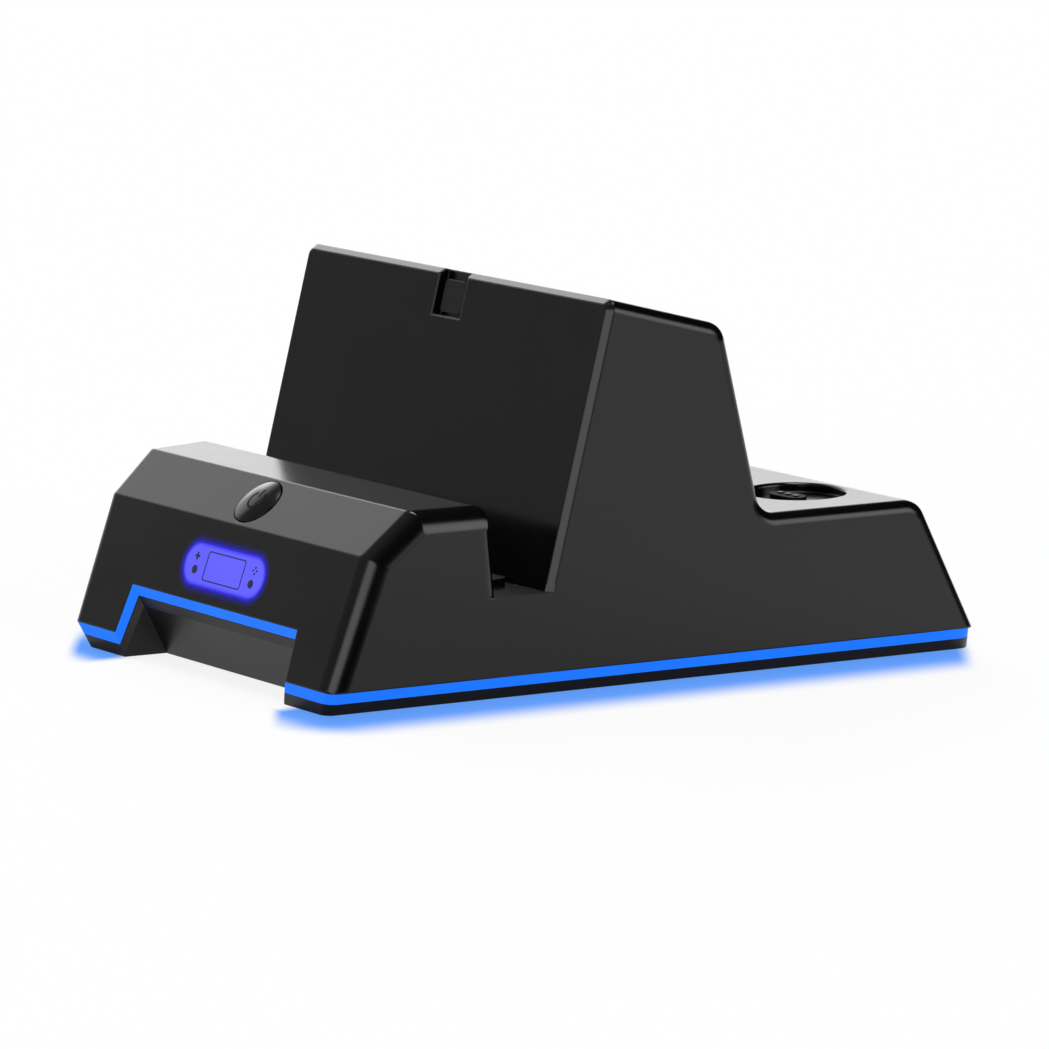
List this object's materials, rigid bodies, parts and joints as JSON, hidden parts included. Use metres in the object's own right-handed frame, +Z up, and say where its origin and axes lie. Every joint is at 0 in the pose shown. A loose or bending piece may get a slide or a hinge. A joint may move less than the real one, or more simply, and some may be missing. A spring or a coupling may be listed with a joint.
{
  "type": "handheld console dock",
  "caption": "Flared, drafted charging stand for a handheld console: slot with plug, leaning back rest, two round shelf recesses, power button and a light line over the front notch.",
  "frame": {"origin": "under the middle of the case, on the surface that the feet stand on", "axes": "+X across the dock, +Y from the front face to the rear, +Z up"},
  "size_m": [0.1584, 0.175, 0.0921],
  "materials": {
    "ballast_iron": "plain",
    "base_plastic": "satin gloss black",
    "screw_steel": "zinc plated",
    "switch_plastic": "matt",
    "contact_plastic": "matt black",
    "contact_brass": "gold plated",
    "circuit_board": "solder mask",
    "foot_rubber": "soft",
    "icon_light": "lit violet blue",
    "guide_plastic": "clear, milky",
    "strip_light": "milky light guide, lit blue",
    "plug_plastic": "matt black",
    "plug_metal": "bright",
    "button_plastic": "gloss black",
    "pad_plastic": "gloss black",
    "cradle_plastic": "dark tinted",
    "led_plastic": "lit",
    "case_plastic": "satin gloss black"
  },
  "bodies": {
    "root": {"ballast_plate": "ballast_iron", "base_plate": "base_plastic", "board_screws": "screw_steel", "button_switch": "switch_plastic", "case_screws": "screw_steel", "contact_block_left": "contact_plastic", "contact_block_right": "contact_plastic", "contact_pins_left": "contact_brass", "contact_pins_right": "contact_brass", "cup_board_left": "circuit_board", "cup_board_right": "circuit_board", "front_board": "circuit_board", "front_left_foot": "foot_rubber", "front_right_foot": "foot_rubber", "icon_board": "circuit_board", "icon_lens": "icon_light", "icon_light_guide": "guide_plastic", "led_board_front_left": "circuit_board", "led_board_front_right": "circuit_board", "led_board_left": "circuit_board", "led_board_rear": "circuit_board", "led_board_right": "circuit_board", "light_strip": "strip_light", "main_board": "circuit_board", "plug_board": "circuit_board", "plug_body": "plug_plastic", "plug_shell": "plug_metal", "power_inlet": "plug_metal", "rear_left_foot": "foot_rubber", "rear_right_foot": "foot_rubber", "rest_pad": "pad_plastic", "slot_cradle": "cradle_plastic", "strip_leds": "led_plastic", "upper_housing": "case_plastic"},
    "button": {"power_button": "button_plastic", "switch_plunger": "switch_plastic"}
  },
  "joints": [
    {"name": "button_press", "type": "slide", "parent": "root", "child": "button", "axis": [0, 0.6347, -0.7727], "range_m": [0, 0.0007], "stiffness_N_per_m": 1000}
  ]
}
